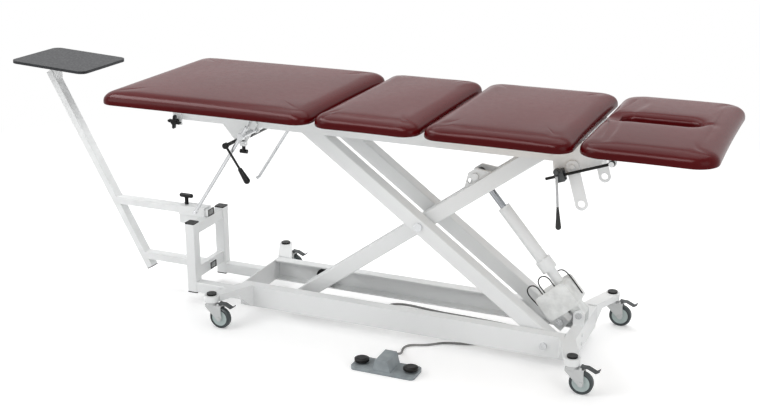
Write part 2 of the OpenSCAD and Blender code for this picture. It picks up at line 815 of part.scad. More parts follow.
// Plates on the outer faces of the top rails: head hinges, lever shaft brackets, knob tab, stay hangers
// A point of each table is a share of the plate's length and height, from its lower left corner.
function scaled(x0, z0, l, h, shares) = [for (p = shares) [x0 + l * p[0], z0 + h * p[1]]];
anchor_run = 66;
anchor_drop = 9;
anchor_x = pivot_x + anchor_run;
anchor_z = top_z0 - anchor_drop;
anchor_t = 5;
star_run = 21;
star_drop = 4;
star_x = top_x0 + star_run;
star_z = top_z0 - star_drop;
shaft_run = 239;
shaft_drop = 44;
shaft_x = star_x + shaft_run;
shaft_z = top_z0 - shaft_drop;
shaft_r = 6;
stay_run = 48;
stay_drop = 13;
stay_x = shaft_x + stay_run;
stay_z = top_z0 - stay_drop;
stay_axle_r = 8;
hanger_t = 10;
star_tab_r = 15;
star_tab_in = 20;
stud_r = 4;
knob_boss_run = 20;
knob_boss_x = shaft_x + knob_boss_run;
knob_boss_w = 18;
hinge_plate_x = pivot_x + pin_head_t;
hinge_plate_l = 149;
hinge_plate_low = 39;
hinge_plate_in = 2;
hinge_plate_shares = [[0, 1], [0, 0.345], [0.034, 0], [0.295, 0.018], [1, 0.398], [1, 0.62],
    [0.71, 1]];
shaft_plate_l = 118;
shaft_plate_h = 97;
shaft_plate_back = 66;
shaft_plate_low = 8;
shaft_plate_shares = [[0, 1], [0.051, 0.536], [0.424, 0], [0.695, 0], [0.729, 0.289], [1, 1]];
shaft_boss_r = 16;
knob_strap_x = 4;
knob_strap_z = 5;
knob_strap_low = 8;
knob_strap_l = 74;
knob_strap_w = 20;
knob_strap_t = 4;
knob_strap_turn = 34;
module head_hinge_plate() {
    anchor_y = plate_out + 2 * gap + anchor_t;
    plate_xz(rail_y, plate_out, scaled(hinge_plate_x, top_z0 - hinge_plate_low, hinge_plate_l,
        rail_h + hinge_plate_low - hinge_plate_in, hinge_plate_shares));
    pin_y(head_hinge_x, hinge_z, plate_out - weld, bar_y1 + gap, hinge_pin_r);
    pin_y(head_hinge_x, hinge_z, bar_y1 + gap, bar_y1 + gap + pin_head_t, hinge_drop);
    pin_y(anchor_x, anchor_z, plate_out - weld, anchor_y, hinge_pin_r);
    pin_y(anchor_x, anchor_z, anchor_y, anchor_y + pin_head_t, hinge_drop);
}

module shaft_bracket() {
    difference() {
        union() {
            plate_xz(rail_y, plate_out, scaled(shaft_x - shaft_plate_back, shaft_z - shaft_plate_low,
                shaft_plate_l, shaft_plate_h, shaft_plate_shares));
            pin_y(shaft_x, shaft_z, rail_y, plate_out, shaft_boss_r);
        }
        pin_y(shaft_x, shaft_z, rail_y - cut, plate_out + cut, shaft_r + run_fit);
    }
}

module stay_hanger() {
    difference() {
        union() {
            block(stay_x - spacer_r, stay_x + spacer_r, rail_in + hanger_t, rail_in + 2 * hanger_t,
                stay_z, top_z0);
            pin_y(stay_x, stay_z, rail_in + hanger_t, rail_in + 2 * hanger_t, spacer_r);
        }
        pin_y(stay_x, stay_z, rail_in, rail_y, stay_axle_r + run_fit);
    }
}

module knob_strap() {
    difference() {
        translate([knob_boss_x + knob_strap_x, 0, shaft_z + knob_strap_z]) rotate([0, knob_strap_turn, 0])
            block(-knob_strap_w / 2, knob_strap_w / 2, plate_out - weld,
                plate_out + knob_strap_t, -knob_strap_low, knob_strap_l);
        pin_y(stay_x, stay_z, plate_out - 2 * weld, plate_out + 2 * knob_strap_t, stay_axle_r + run_fit);
    }
}

module rail_brackets() {
    color("white") place() {
        both_sides() {
            head_hinge_plate();
            stay_hanger();
        }
        on_side(false) shaft_bracket();
        on_side(true) union() {
            shaft_bracket();
            knob_strap();
            difference() {
                block(knob_boss_x - knob_boss_w / 2, knob_boss_x + knob_boss_w / 2, plate_out - weld,
                    plate_out + knob_boss_w, shaft_z - knob_boss_w, shaft_z - 3 * weld);
                pin_z(knob_boss_x, plate_out + knob_boss_w / 2, shaft_z - 2 * knob_boss_w, shaft_z,
                    stud_r + run_fit);
            }
        }
        on_side(true) difference() {
            block(star_x - star_tab_r, star_x + star_tab_r, rail_y, plate_out, star_z - star_tab_r,
                top_z1 - star_tab_in);
            pin_y(star_x, star_z, rail_y - cut, plate_out + cut, stud_r + run_fit);
        }
    }
}

// Boards under the cushions
function corner_point(a, b, r, q, k) = let (
    sx = q == 0 || q == 3 ? 1 : -1, sy = q < 2 ? 1 : -1, t = 90 * q + 90 * k / corner_steps
) [sx * (a - r) + r * cos(t), sy * (b - r) + r * sin(t)];
module board_shape(l, w, r)
    linear_extrude(board_t) polygon([
        for (q = [0:3], k = [0:corner_steps])
            corner_point(l / 2 - board_inset, w / 2 - board_inset, r - board_inset, q, k)
    ]);

chest_x = head_hinge_x - cushion_gap / 2 - chest_l / 2;
pelvis_x = head_hinge_x - 1.5 * cushion_gap - chest_l - pelvis_l / 2;
leg_x = leg_hinge_x - cushion_gap / 2 - leg_l / 2;
head_x = head_hinge_x + cushion_gap / 2 + head_l / 2;

module face_slot(w, h) {
    x0 = head_x - head_l / 2 + slot_end + w / 2;
    x1 = head_x - head_l / 2 + slot_end + slot_l - w / 2;
    translate([0, 0, board_z - cut]) {
        for (x = [x0, x1]) translate([x, 0, 0]) cylinder(r = w / 2, h = h + 2 * cut);
        block(x0, x1, -w / 2, w / 2, 0, h + 2 * cut);
    }
}

module chest_board()
    color("tan") place() translate([chest_x, 0, board_z - gap])
        board_shape(chest_l, cushion_w, cushion_corner);

// Cushion: rings of points from the board recess, round the soft shoulder, up over the crown
function side_run(a, b, t) = a + (b - a) * t;
function ring_points(a, b, r, pull, z) = [
    for (q = [0:3]) let (
        sx = q == 0 || q == 3 ? 1 : -1, sy = q < 2 ? 1 : -1,
        nx = q == 0 ? -1 : q == 1 ? -1 : 1, ny = q == 0 ? 1 : q == 1 ? -1 : q == 2 ? -1 : 1
    ) each concat(
        [for (k = [0:corner_steps]) concat(corner_point(a, b, r, q, k), z)],
        [for (k = [1:side_points]) let (t = k / (side_points + 1), d = pull * sin(180 * t))
            q % 2 == 0 ? [side_run(sx * (a - r), nx * (a - r), t), sy * (b - d), z]
                : [sx * (a - d), side_run(sy * (b - r), ny * (b - r), t), z]]
    )
];
function cushion_rings(l, w, r) = let (
    a = l / 2, b = w / 2, inset = board_inset - gap, base = cushion_t - shoulder_drop
) concat(
    [ring_points(a - inset, b - inset, r - inset, 0, board_t)],
    [ring_points(a - inset, b - inset, r - inset, 0, 0)],
    [ring_points(a - bottom_roll, b - bottom_roll, r - bottom_roll, cushion_pull, 0)],
    [for (k = [0:shoulder_steps]) let (i = shoulder_run * (1 - cos(90 * k / shoulder_steps)))
        ring_points(a - i, b - i, max(r - i, bottom_roll), cushion_pull * (1 - k / shoulder_steps),
            base + shoulder_drop * sin(90 * k / shoulder_steps))],
    [for (k = [1:crown_steps]) let (s = k / (crown_steps + 1),
            i = shoulder_run + (min(a, b) - shoulder_run) * s)
        ring_points(a - i, b - i, bottom_roll, 0, cushion_t + cushion_crown * (1 - (1 - s) * (1 - s)))]
);
module cushion_form(l, w, r) {
    rings = cushion_rings(l, w, r);
    n = len(rings[0]);
    m = len(rings);
    points = concat([for (ring = rings) each ring], [[0, 0, board_t], [0, 0, cushion_t + cushion_crown]]);
    polyhedron(points = points, faces = concat(
        [for (k = [0:n - 1]) [m * n, k, (k + 1) % n]],
        [for (i = [0:m - 2], k = [0:n - 1]) each [
            [i * n + k, (i + 1) * n + k, (i + 1) * n + (k + 1) % n],
            [i * n + k, (i + 1) * n + (k + 1) % n, i * n + (k + 1) % n]]],
        [for (k = [0:n - 1]) [m * n + 1, (m - 1) * n + (k + 1) % n, (m - 1) * n + k]]
    ));
}
module chest_cushion() {
    color("maroon") place() translate([chest_x, 0, board_z])
        cushion_form(chest_l, cushion_w, cushion_corner);
}
module pelvis_cushion() {
    color("maroon") place() translate([pelvis_x, 0, board_z])
        cushion_form(pelvis_l, cushion_w, cushion_corner);
}
module leg_cushion() {
    color("maroon") place() translate([leg_x, 0, board_z])
        cushion_form(leg_l, cushion_w, cushion_corner);
}
module head_cushion() {
    color("maroon") place() difference() {
        translate([head_x, 0, board_z]) cushion_form(head_l, cushion_w, head_corner);
        face_slot(slot_w, 2 * cushion_t);
    }
}

// Carriage under the pelvis cushion: its side plates slide along the top rails
carriage_tail = 19;
carriage_in = 34;
carriage_x0 = leg_hinge_x - carriage_tail;
carriage_x1 = pelvis_x + pelvis_l / 2 - carriage_in;
carriage_h = 25;
module carriage() {
    slide_y = rail_y + slide_fit;
    color("white") place() union() {
        translate([pelvis_x, 0, board_z]) board_shape(pelvis_l, cushion_w, cushion_corner);
        both_sides() {
            block(carriage_x0, carriage_x1, slide_y, plate_out, top_z1 - carriage_h, board_z);
            block(pelvis_x - pelvis_l / 2 + 2 * board_inset, carriage_x1, slide_y, plate_out,
                board_z - weld, board_z + weld);
            pin_y(leg_hinge_x, hinge_z, plate_out - weld, bar_y1 + gap, hinge_pin_r);
            pin_y(leg_hinge_x, hinge_z, bar_y1 + gap, bar_y1 + gap + pin_head_t, hinge_drop);
        }
    }
}

// Leg section: two bars with hinge eyes and the board on top of them
leg_bar_l = 579;
leg_bar_x0 = leg_hinge_x - leg_bar_l;
module hinge_bar(hinge_x, x_end, board_end) {
    difference() {
        union() {
            block(min(hinge_x, x_end), max(hinge_x, x_end), bar_y0, bar_y1, board_z - bar_h, board_z);
            block(min(board_end, x_end), max(board_end, x_end), bar_y0, bar_y1, board_z - weld,
                board_z + weld);
            pin_y(hinge_x, hinge_z, bar_y0, bar_y1, hinge_drop + gap);
        }
        pin_y(hinge_x, hinge_z, bar_y0 - cut, bar_y1 + cut, hinge_pin_r + run_fit);
    }
}
module leg_frame() {
    color("white") place() union() {
        translate([leg_x, 0, board_z]) board_shape(leg_l, cushion_w, cushion_corner);
        both_sides() hinge_bar(leg_hinge_x, leg_bar_x0, leg_x + leg_l / 2 - 2 * board_inset);
    }
}

// Head section: bars, board with the face slot, and the lug of the lock rod on the near side
lug_run = 80;
lug_up = 18;
lug_x = head_hinge_x + lug_run;
lug_z = top_z0 + lug_up;
lug_r = 12;
rod_y = 171;
lock_r = 4.5;
head_bar_l = 292;
head_bar_x1 = head_hinge_x + head_bar_l;
slot_wall = 12;
module head_frame() {
    color("white") place() union() {
        difference() {
            translate([head_x, 0, board_z]) board_shape(head_l, cushion_w, head_corner);
            face_slot(slot_w + 2 * slot_wall, board_t);
        }
        both_sides() hinge_bar(head_hinge_x, head_bar_x1, head_x - head_l / 2 + 2 * board_inset);
        on_side(true) {
            block(lug_x - lug_r, lug_x + lug_r, bar_y1 - plate_t, bar_y1, lug_z, board_z - bar_h + weld);
            pin_y(lug_x, lug_z, bar_y1 - plate_t, bar_y1, lug_r);
            pin_y(lug_x, lug_z, bar_y1 - weld, rod_y + plate_t + gap, stud_r);
            pin_y(lug_x, lug_z, rod_y + plate_t + gap, rod_y + plate_t + gap + pin_head_t, pin_head_r);
        }
    }
}

// Lock of the head section: a yoke on the hinge plate, the rod through it and the release lever
lock_run = 33;
lock_drop = 36;
lock_x = pivot_x + lock_run;
lock_z = top_z0 - lock_drop;
rod_tail = 10;
rod_tail_drop = 52;
rod_tail_x = pivot_x - rod_tail;
rod_tail_z = top_z0 - rod_tail_drop;
lock_angle = atan2(lug_z - lock_z, lug_x - lock_x);
lock_l = 26;
lock_h = 36;
lock_y1 = 184;
lock_slot = 28;
lock_slot_w = 12;
lever_run = 26;
lever_drop = 20;
lever_x = pivot_x + lever_run;
lever_z = top_z0 - lever_drop;
lever_r = 9;
head_hub_t = 9;
module lock_body() {
    lever_end = lock_y1 + 3 * gap + head_hub_t;
    color("dimgray") place() on_side(true) union() {
        translate([lock_x, 0, lock_z]) rotate([0, -lock_angle, 0]) difference() {
            block(-lock_l / 2, lock_l / 2, plate_out, lock_y1, -lock_h / 2, lock_h / 2);
            block(-lock_l, lock_l, rod_y - lock_slot_w / 2, rod_y + lock_slot_w / 2,
                -lock_slot / 2, lock_slot / 2);
        }
        pin_y(lever_x, lever_z, rod_y + lock_slot_w / 2, lock_y1 + gap, lever_r);
        pin_y(lever_x, lever_z, lock_y1, lever_end, stud_r);
        pin_y(lever_x, lever_z, lever_end, lever_end + pin_head_t, pin_head_r);
    }
}

module lock_rod() {
    run = norm([lug_x - rod_tail_x, lug_z - rod_tail_z]);
    color("black") place() on_side(true) difference() {
        translate([lug_x, rod_y, lug_z]) rotate([0, -lock_angle, 0]) union() {
            rotate([0, -90, 0]) cylinder(r = lock_r, h = run);
            pin_y(0, 0, -plate_t + gap, plate_t, lever_r);
        }
        pin_y(lug_x, lug_z, bar_y1, rod_y + 2 * plate_t, stud_r + run_fit);
    }
}

// Round lever with a tapered grip, drawn from its hub at the origin towards the given end
module lever(dx, dz, grip_l, thin_r, thick_r) {
    run = norm([dx, dz]);
    rotate([0, atan2(dx, dz), 0]) {
        cylinder(r = stud_r, h = run - grip_l + weld);
        translate([0, 0, run - grip_l]) cylinder(r1 = thin_r, r2 = thick_r, h = grip_l - thick_r);
        translate([0, 0, run - thick_r]) intersection() {
            sphere(r = thick_r);
            cylinder(r = thick_r + cut, h = thick_r + cut);
        }
    }
}
head_lever_dx = 15;
head_lever_dz = -181;
head_grip_l = 66;
module head_lever() {
    lever_mid = lock_y1 + 2 * gap + head_hub_t / 2;
    color("black") place() on_side(true) translate([lever_x, lever_mid, lever_z]) difference() {
        union() {
            pin_y(0, 0, -head_hub_t / 2, head_hub_t / 2, lever_r);
            lever(head_lever_dx, head_lever_dz, head_grip_l, stud_r + gap, lever_r);
        }
        pin_y(0, 0, -head_hub_t, head_hub_t, stud_r + run_fit);
    }
}

// Two plates with a hole for a strap or rope
anchor_dx = 33;
anchor_dz = -113;
anchor_w = 40;
anchor_hole_r = 11;
module belt_anchors() {
    turn = atan2(anchor_dx, anchor_dz);
    run = norm([anchor_dx, anchor_dz]);
    color("white") place() both_sides() translate([anchor_x, plate_out + gap, anchor_z]) difference() {
        union() {
            pin_y(0, 0, 0, anchor_t, anchor_w / 2);
            pin_y(anchor_dx, anchor_dz, 0, anchor_t, anchor_w / 2);
            rotate([0, turn, 0]) block(weld - anchor_w / 2, anchor_w / 2 - weld, 0, anchor_t, 0, run);
        }
        pin_y(0, 0, -cut, anchor_t + cut, hinge_pin_r + run_fit);
        pin_y(anchor_dx, anchor_dz, -cut, anchor_t + cut, anchor_hole_r);
    }
}

// Release shaft across the table with its lever on the near side
lever_y = 245;
lever_t = 6;
shaft_far = 158;
collar_r = 10;
sleeve_y0 = -84;
sleeve_y1 = 30;
sleeve_r = 12;
leg_lever_dx = 81;
leg_lever_dz = -120;
leg_grip_l = 58;
leg_grip_thin_r = 7;
leg_grip_r = 11;
module leg_release() {
    color("black") place() translate([shaft_x, 0, shaft_z]) union() {
        pin_y(0, 0, -lever_y - lever_t, shaft_far, shaft_r);
        pin_y(0, 0, sleeve_y0, sleeve_y1, sleeve_r);
        pin_y(0, 0, -lever_y - lever_t, -lever_y + lever_t, collar_r);
        pin_y(0, 0, plate_out + gap, shaft_far, collar_r);
        pin_y(0, 0, -plate_out - gap - lever_t, -plate_out - gap, collar_r);
        translate([0, -lever_y, 0]) lever(leg_lever_dx, leg_lever_dz, leg_grip_l,
            leg_grip_thin_r, leg_grip_r);
    }
}

// Knobs
side_stem_l = 16;
side_stem_r = 6;
side_bar_l = 26;
side_bar_r = 7;
side_bar_z = 20;
module side_knob() {
    color("black") place() on_side(true)
        translate([knob_boss_x, plate_out + knob_boss_w / 2, shaft_z - knob_boss_w]) union() {
            pin_z(0, 0, cut - side_stem_l, knob_boss_w - cut, stud_r);
            pin_z(0, 0, -side_stem_l, -gap, side_stem_r);
            translate([-side_bar_l / 2, 0, -side_bar_z]) rotate([0, 90, 0])
                cylinder(r = side_bar_r, h = side_bar_l);
        }
}

star_hub_r = 11;
star_arm = 24;
star_lobe_r = 5;
star_t = 14;
star_y0 = 165;
star_neck_r = 7;
star_lobe_in = 2;
star_turn = 8;
module star_knob() {
    color("black") place() on_side(true) translate([star_x, 0, star_z]) union() {
        pin_y(0, 0, web_in, star_y0 + weld, stud_r);
        pin_y(0, 0, plate_out + gap, star_y0 + weld, star_neck_r);
        pin_y(0, 0, star_y0, star_y0 + star_t, star_hub_r);
        for (k = [0:3]) rotate([0, 90 * k + star_turn, 0]) {
            block(-star_lobe_r, star_lobe_r, star_y0 + star_lobe_in, star_y0 + star_t - star_lobe_in,
                0, star_arm - star_lobe_r);
            pin_y(0, star_arm - star_lobe_r, star_y0 + star_lobe_in, star_y0 + star_t - star_lobe_in,
                star_lobe_r);
        }
    }
}

stand_screw_l = 16;
stand_stem_l = 30;
stand_stem_r = 7;
stand_bar_z = 33;
stand_bar_l = 40;
stand_bar_r = 8;
module stand_knob() {
    color("black") place() translate([knob_x, 0, sleeve_z0 + sleeve_h]) union() {
        pin_z(0, 0, -sleeve_wall, stand_screw_l, knob_screw_r);
        pin_z(0, 0, gap, stand_stem_l, stand_stem_r);
        translate([-stand_bar_l / 2, 0, stand_bar_z]) rotate([0, 90, 0])
            cylinder(r = stand_bar_r, h = stand_bar_l);
        for (x = [-stand_bar_l / 2, stand_bar_l / 2]) translate([x, 0, stand_bar_z]) sphere(r = stand_bar_r);
    }
}

// Two slanting stays on one cross shaft under the top rails
stay_y = 228;
stay_r = 6;
stay_dx = -189;
stay_dz = -286;
stay_up = 42;
stay_foot_l = 14;
module stays() {
    turn = atan2(stay_dx, stay_dz);
    run = norm([stay_dx, stay_dz]);
    color("silver") place() translate([stay_x, 0, stay_z]) union() {
        pin_y(0, 0, -stay_y, stay_y, stay_axle_r);
        both_sides() translate([0, stay_y, 0]) {
            rotate([0, turn, 0]) translate([0, 0, -stay_up]) cylinder(r = stay_r, h = stay_up + run);
            pin_y(0, 0, -stay_r - weld, stay_r + weld, spacer_r);
            pin_y(stay_dx, stay_dz, -stay_foot_l, stay_r, stay_r);
        }
    }
}

// Sliding post of the tray: two level tubes and a leaning one, with black caps in their ends
module along_post() translate([lean_x0, 0, lean_z0]) rotate([0, lean, 0]) children();
function lean_at(z) = lean_x0 - (z - lean_z0) * lean_run / lean_rise;
module post_box(inset, x1, z)
    block(lean_at(z), x1, inset - post_y / 2, post_y / 2 - inset,
        z - post_z / 2 + inset, z + post_z / 2 - inset);
module post_frame() {
    lean_y = post_y - 2 * weld;
    color("white") place() difference() {
        union() {
            along_post() block(-post_z / 2, post_z / 2, -lean_y / 2, lean_y / 2, 0, lean_l);
            for (z = [upper_z, lower_z]) post_box(0, post_x1, z);
            block(neck_x0, neck_x1, post_wall - post_y / 2, post_y / 2 - post_wall,
                neck_z0, tray_z - tray_t);
            translate([tray_x, 0, tray_z]) rotate([0, tray_tilt, 0]) {
                block(-tray_plate_l / 2, tray_plate_l / 2, -tray_plate_w / 2, tray_plate_w / 2,
                    -tray_t / 2 - tray_plate_t, -tray_t / 2);
                block(neck_x0 - tray_x - post_wall, 0, -post_y / 2, post_y / 2,
                    -tray_t / 2 - 3 * tray_plate_t, -tray_t / 2 - weld);
            }
        }
        along_post() block(-post_z / 2 + post_wall, post_z / 2 - post_wall, -lean_y / 2 + post_wall,
            lean_y / 2 - post_wall, -cut, lean_l - post_y);
        for (z = [upper_z, lower_z])
            post_box(post_wall, post_x1 + cut, z);
    }
}

module tray() {
    color("dimgray") place() translate([tray_x, 0, tray_z]) rotate([0, tray_tilt, 0]) union() {
        translate([0, 0, -tray_t / 2]) linear_extrude(tray_t) soft_rect(tray_l, tray_w, tray_corner);
    }
}

base_rail_near();
base_rail_far();
base_cross_members();
caster_arms();
end_plugs();
base_pins();
stand_frame();
foot_switch_base();
foot_switch_cover();
foot_cable();
foot_pad_up();
foot_pad_down();
caster_fork_near_left();
caster_fork_far_left();
caster_fork_near_right();
caster_fork_far_right();
caster_wheel_near_left();
caster_wheel_far_left();
caster_wheel_near_right();
caster_wheel_far_right();
caster_pedal_near_left();
caster_pedal_far_left();
caster_pedal_near_right();
caster_pedal_far_right();
outer_arm_near();
outer_arm_far();
mid_axle();
upper_rollers();
inner_arm_near();
inner_arm_far();
rod_bracket();
lower_rollers();
actuator_tube();
motor_cover();
actuator_rod();
rod_end();
top_rail_near();
top_rail_far();
top_cross_tubes();
top_axle();
rail_brackets();
chest_board();
chest_cushion();
lock_body();
head_lever();
belt_anchors();
leg_release();
side_knob();
star_knob();
stays();
carriage();
pelvis_cushion();
leg_frame();
leg_cushion();
head_frame();
head_cushion();
lock_rod();
post_frame();
stand_knob();
tray();
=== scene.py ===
"""Looks of the four-section treatment table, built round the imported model."""
import json
import math

import bpy
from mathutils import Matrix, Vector


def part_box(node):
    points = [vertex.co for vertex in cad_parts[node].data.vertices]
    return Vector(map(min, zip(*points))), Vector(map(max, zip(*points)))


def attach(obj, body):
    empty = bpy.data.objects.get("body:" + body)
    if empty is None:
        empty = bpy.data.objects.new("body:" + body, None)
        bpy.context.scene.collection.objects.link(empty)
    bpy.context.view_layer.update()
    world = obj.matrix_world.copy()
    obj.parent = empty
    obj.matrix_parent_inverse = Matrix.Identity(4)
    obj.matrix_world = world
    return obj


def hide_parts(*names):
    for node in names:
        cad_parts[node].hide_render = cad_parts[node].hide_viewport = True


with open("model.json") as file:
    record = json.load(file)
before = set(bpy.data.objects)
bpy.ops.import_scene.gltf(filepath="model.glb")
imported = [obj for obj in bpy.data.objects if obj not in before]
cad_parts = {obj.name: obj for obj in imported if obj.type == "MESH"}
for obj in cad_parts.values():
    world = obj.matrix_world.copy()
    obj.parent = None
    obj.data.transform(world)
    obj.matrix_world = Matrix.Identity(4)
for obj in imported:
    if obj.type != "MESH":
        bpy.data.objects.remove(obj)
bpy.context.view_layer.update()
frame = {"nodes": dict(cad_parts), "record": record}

scene = bpy.context.scene
scene.view_settings.view_transform = "Standard"
MM = 0.001
OFFSET = Vector((0.251516, 0.0285, 0.0))  # from the frame of the base in part.scad to the row frame


def base(x, y, z):
    """A point that part.scad gives in mm in the frame of the base, in metres in the row frame."""
    return Vector((x, y, z)) * MM + OFFSET


# ---------------------------------------------------------------- camera
PHOTO_W = 760
FOCAL_PX = 1196.41
AZIMUTH, ELEVATION = 22.96, 18.53
camera = bpy.data.objects.new("camera", bpy.data.cameras.new("camera"))
scene.collection.objects.link(camera)
scene.camera = camera
camera.data.sensor_width = 36
camera.data.lens = FOCAL_PX / PHOTO_W * camera.data.sensor_width
camera.location = base(1373.24, -3526.71, 1690.02)
camera.rotation_euler = (math.radians(90 - ELEVATION), 0, math.radians(AZIMUTH))


# ---------------------------------------------------------------- nodes of the materials
class Nodes:
    """A material's node tree with short calls for the nodes that this file uses."""

    def __init__(self, name):
        self.material = bpy.data.materials.new(name)
        self.material.use_nodes = True
        self.tree = self.material.node_tree
        self.shader = self.tree.nodes["Principled BSDF"]
        self.place = self.add("ShaderNodeTexCoord").outputs["Object"]

    def add(self, kind, **values):
        node = self.tree.nodes.new(kind)
        for key, value in values.items():
            setattr(node, key, value)
        return node

    def link(self, a, b):
        self.tree.links.new(a, b)

    def noise(self, scale, detail=3.0, rough=0.5, stretch=None):
        node = self.add("ShaderNodeTexNoise")
        node.inputs["Scale"].default_value = scale
        node.inputs["Detail"].default_value = detail
        node.inputs["Roughness"].default_value = rough
        place = self.place
        if stretch:
            mapping = self.add("ShaderNodeMapping")
            mapping.inputs["Scale"].default_value = stretch
            self.link(place, mapping.inputs["Vector"])
            place = mapping.outputs["Vector"]
        self.link(place, node.inputs["Vector"])
        return node.outputs["Fac"]

    def cells(self, scale, feature="DISTANCE_TO_EDGE"):
        node = self.add("ShaderNodeTexVoronoi", feature=feature)
        node.inputs["Scale"].default_value = scale
        self.link(self.place, node.inputs["Vector"])
        return node.outputs["Distance"]

    def ramp(self, value, low, high, start=0.3, end=0.7):
        """Maps a value from start..end to low..high, where both are numbers or both are colours."""
        if isinstance(low, (int, float)):
            node = self.add("ShaderNodeMapRange")
            limits = {"From Min": start, "From Max": end, "To Min": low, "To Max": high}
            for key, number in limits.items():
                node.inputs[key].default_value = number
            self.link(value, node.inputs["Value"])
            return node.outputs["Result"]
        node = self.add("ShaderNodeValToRGB")
        node.color_ramp.elements[0].position = start
        node.color_ramp.elements[1].position = end
        node.color_ramp.elements[0].color = (*low, 1)
        node.color_ramp.elements[1].color = (*high, 1)
        self.link(value, node.inputs["Fac"])
        return node.outputs["Color"]

    def bump(self, height, distance, strength=1.0, below=None):
        node = self.add("ShaderNodeBump")
        node.inputs["Strength"].default_value = strength
        node.inputs["Distance"].default_value = distance
        self.link(height, node.inputs["Height"])
        if below:
            self.link(below, node.inputs["Normal"])
        return node.outputs["Normal"]

    def edge(self, radius, samples=4):
        node = self.add("ShaderNodeBevel", samples=samples)
        node.inputs["Radius"].default_value = radius
        return node.outputs["Normal"]

    def finish(self, colour=None, roughness=None, normal=None, **values):
        for key, value in values.items():
            self.shader.inputs[key.replace("_", " ")].default_value = value
        for key, socket in (("Base Color", colour), ("Roughness", roughness), ("Normal", normal)):
            if socket is not None:
                self.link(socket, self.shader.inputs[key])
        return self.material


def shade(rgb, factor):
    return tuple(min(1.0, c * factor) for c in rgb)


def make_paint(name, rgb, rough, edge=0.0012, peel=0.00004):
    n = Nodes(name)
    tone = n.noise(2.2, 4, 0.55)
    dirt = n.noise(38, 5, 0.6)
    peel_normal = n.bump(n.noise(900, 2), peel, 0.5, n.edge(edge))
    return n.finish(
        n.ramp(tone, shade(rgb, 0.965), shade(rgb, 1.02)),
        n.ramp(dirt, rough - 0.05, rough + 0.09),
        peel_normal,
        Specular_IOR_Level=0.5,
    )


def make_plastic(name, rgb, rough, grain=0.00005, edge=0.0008, scale=1400):
    n = Nodes(name)
    tone = n.noise(30, 4)
    normal = n.bump(n.cells(scale, "F1"), grain, 0.6, n.edge(edge))
    return n.finish(
        n.ramp(tone, shade(rgb, 0.85), shade(rgb, 1.15)),
        n.ramp(n.noise(120, 4), rough - 0.08, rough + 0.1),
        normal,
        IOR=1.32,
    )


def make_metal(name, rgb, rough, stretch=(1, 1, 1), edge=0.0006, depth=0.00002):
    n = Nodes(name)
    lines = n.noise(400, 3, 0.6, stretch)
    normal = n.bump(lines, depth, 0.5, n.edge(edge))
    return n.finish(
        n.ramp(n.noise(25, 4), shade(rgb, 0.9), shade(rgb, 1.04)),
        n.ramp(lines, rough * 0.75, rough * 1.35),
        normal,
        Metallic=1.0,
    )


def make_vinyl():
    n = Nodes("vinyl")
    tone = n.noise(3.0, 3, 0.5)
    grain = n.cells(620)
    soft = n.noise(9, 2, 0.5)
    normal = n.bump(soft, 0.0012, 0.06)
    normal = n.bump(grain, 0.00004, 0.2, normal)
    return n.finish(
        n.ramp(tone, (0.060, 0.0008, 0.0016), (0.074, 0.0012, 0.0024)),
        n.ramp(n.noise(60, 4, 0.6), 0.21, 0.27),
        normal,
        IOR=1.2,
    )


def make_wood():
    n = Nodes("plywood")
    rings = n.noise(28, 4, 0.6, (1, 8, 30))
    return n.finish(
        n.ramp(rings, (0.42, 0.27, 0.14), (0.62, 0.45, 0.27)),
        n.ramp(rings, 0.55, 0.7),
        n.bump(rings, 0.0002, 0.4, n.edge(0.0008)),
    )


WHITE = (0.80, 0.81, 0.81)
BLACK = (0.004, 0.004, 0.0042)
vinyl = make_vinyl()
white_steel = make_paint("white_steel", WHITE, 0.33)
pale_steel = make_paint("pressed_steel", (0.56, 0.57, 0.57), 0.38, 0.0008)
black_plastic = make_plastic("black_plastic", BLACK, 0.36)
grey_plastic = make_plastic("grey_plastic", (0.075, 0.08, 0.082), 0.5)
switch_plastic = make_plastic("switch_plastic", (0.27, 0.30, 0.315), 0.5)
cover_plastic = make_plastic("cover_plastic", (0.74, 0.75, 0.74), 0.42, 0.00003)
tray_top = make_plastic("tray_laminate", (0.022, 0.023, 0.026), 0.42, 0.00004, 0.0015)
zinc = make_metal("bright_steel", (0.60, 0.61, 0.62), 0.28)
chrome = make_metal("chrome_rod", (0.34, 0.35, 0.37), 0.12, (1, 1, 0.05), 0.0004, 0.000004)
tyre = make_plastic("caster_rubber", (0.045, 0.052, 0.056), 0.62)
jacket = make_plastic("cable_jacket", (0.26, 0.26, 0.255), 0.5)
wood = make_wood()

BY_SLOT = {
    "white_steel": white_steel, "grey_plastic": grey_plastic, "black_plastic": black_plastic,
    "bright_steel": zinc, "chrome_rod": chrome, "pressed_steel": pale_steel, "caster_rubber": tyre,
    "cable_jacket": jacket, "vinyl": vinyl, "plywood": wood, "cover_plastic": cover_plastic,
}
OWN = {"tray": tray_top, "foot_switch_base": switch_plastic, "foot_switch_cover": switch_plastic}


def where(n, kind, *values):
    """Vector maths on the place of a point, with the given vectors as the other inputs."""
    node = n.add("ShaderNodeVectorMath", operation=kind)
    n.link(n.place, node.inputs[0])
    for socket, value in zip(node.inputs[1:], values):
        socket.default_value = value
    return node


def over(n, value, limit):
    node = n.add("ShaderNodeMath", operation="GREATER_THAN")
    n.link(value, node.inputs[0])
    node.inputs[1].default_value = limit
    return node.outputs[0]


def both(n, a, b):
    node = n.add("ShaderNodeMath", operation="MULTIPLY")
    n.link(a, node.inputs[0])
    n.link(b, node.inputs[1])
    return node.outputs[0]


